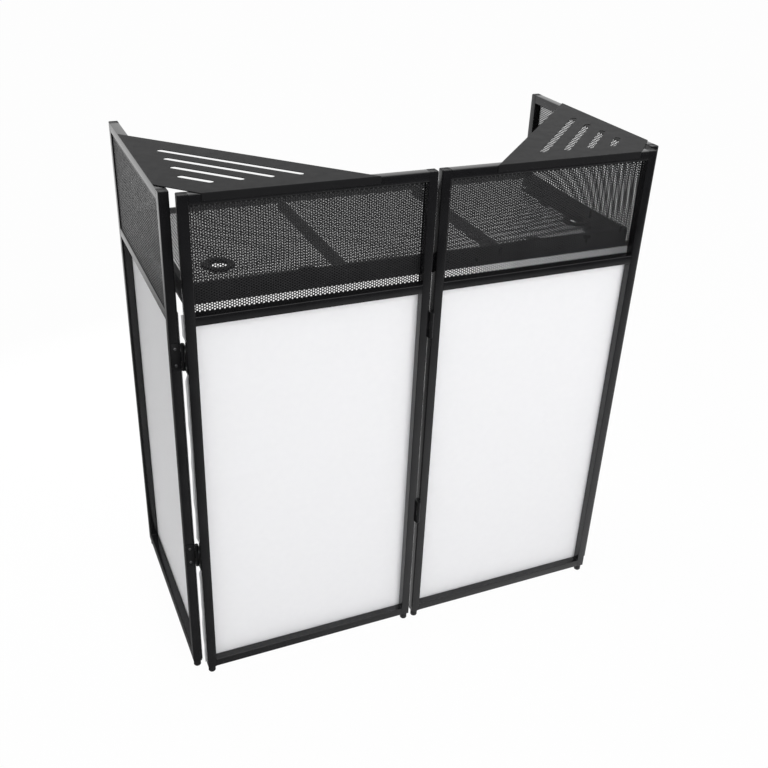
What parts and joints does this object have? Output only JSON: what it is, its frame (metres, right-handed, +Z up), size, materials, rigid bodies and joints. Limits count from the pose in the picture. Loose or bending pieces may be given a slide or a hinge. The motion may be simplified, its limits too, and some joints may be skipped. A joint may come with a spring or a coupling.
{
  "type": "dj booth",
  "caption": "Folding booth of hinged black tube panels with white cloth below, perforated sheet above, a lift-off perforated table and slotted corner shelves.",
  "frame": {"origin": "on the floor, under the middle of the overall box", "axes": "+Z up, +X to the right seen from the audience, +Y to the back where the performer stands"},
  "size_m": [1.1096, 0.5486, 1.1795],
  "materials": {
    "frame_coat": "black satin powder coat",
    "mesh_coat": "black satin powder coat on perforated sheet",
    "shelf_coat": "dark grey fine-textured powder coat",
    "table_coat": "black satin powder coat",
    "hinge_steel": "black coated steel",
    "screw_steel": "zinc-plated steel",
    "cap_plastic": "black moulded plastic",
    "foot_plastic": "black moulded plastic",
    "pad_rubber": "black rubber",
    "tape_fabric": "black hook-and-loop tape",
    "scrim_fabric": "white stretch cloth"
  },
  "bodies": {
    "front_left": {"centre_hinge_left_leaves": "hinge_steel", "centre_hinge_pins": "hinge_steel", "front_left_end_caps": "cap_plastic", "front_left_feet": "foot_plastic", "front_left_hinge_screws": "screw_steel", "front_left_hook_tape": "tape_fabric", "front_left_mesh": "mesh_coat", "front_left_posts": "frame_coat", "front_left_rails": "frame_coat", "front_left_scrim": "scrim_fabric", "left_hinge_front_leaves": "hinge_steel", "left_hinge_pins": "hinge_steel"},
    "front_right": {"centre_hinge_right_leaves": "hinge_steel", "front_right_end_caps": "cap_plastic", "front_right_feet": "foot_plastic", "front_right_hinge_screws": "screw_steel", "front_right_hook_tape": "tape_fabric", "front_right_mesh": "mesh_coat", "front_right_posts": "frame_coat", "front_right_rails": "frame_coat", "front_right_scrim": "scrim_fabric", "right_hinge_front_leaves": "hinge_steel", "right_hinge_pins": "hinge_steel"},
    "left_wing": {"left_hinge_wing_leaves": "hinge_steel", "left_wing_end_caps": "cap_plastic", "left_wing_feet": "foot_plastic", "left_wing_hinge_screws": "screw_steel", "left_wing_hook_tape": "tape_fabric", "left_wing_mesh": "mesh_coat", "left_wing_posts": "frame_coat", "left_wing_rails": "frame_coat", "left_wing_scrim": "scrim_fabric", "left_wing_table_brackets": "frame_coat", "left_wing_table_pads": "pad_rubber"},
    "right_wing": {"right_hinge_wing_leaves": "hinge_steel", "right_wing_end_caps": "cap_plastic", "right_wing_feet": "foot_plastic", "right_wing_hinge_screws": "screw_steel", "right_wing_hook_tape": "tape_fabric", "right_wing_mesh": "mesh_coat", "right_wing_posts": "frame_coat", "right_wing_rails": "frame_coat", "right_wing_scrim": "scrim_fabric", "right_wing_table_brackets": "frame_coat", "right_wing_table_pads": "pad_rubber"},
    "table": {"table_back_rail": "table_coat", "table_centre_panel": "table_coat", "table_clips": "table_coat", "table_front_rail": "table_coat", "table_grommets": "cap_plastic", "table_left_bar": "table_coat", "table_left_end": "table_coat", "table_left_panel": "table_coat", "table_right_bar": "table_coat", "table_right_end": "table_coat", "table_right_panel": "table_coat"},
    "left_shelf": {"left_shelf": "shelf_coat"},
    "right_shelf": {"right_shelf": "shelf_coat"}
  },
  "joints": [
    {"name": "centre_fold", "type": "hinge", "parent": "front_left", "child": "front_right", "pos_m": [0, -0.27065, 0.5905], "axis": [0, 0, -1], "range_deg": [0, 180]},
    {"name": "left_wing_swing", "type": "hinge", "parent": "front_left", "child": "left_wing", "pos_m": [-0.53075, -0.23765, 0.5905], "axis": [0, 0, 1], "range_deg": [0, 90]},
    {"name": "right_wing_swing", "type": "hinge", "parent": "front_right", "child": "right_wing", "pos_m": [0.53075, -0.23765, 0.5905], "axis": [0, 0, -1], "range_deg": [0, 90]},
    {"name": "table_lift", "type": "slide", "parent": "front_left", "child": "table", "axis": [0, 0, 1], "range_m": [0, 0.15]},
    {"name": "left_shelf_lift", "type": "slide", "parent": "front_left", "child": "left_shelf", "axis": [0, 0, 1], "range_m": [0, 0.1]},
    {"name": "right_shelf_lift", "type": "slide", "parent": "front_right", "child": "right_shelf", "axis": [0, 0, 1], "range_m": [0, 0.1]}
  ]
}
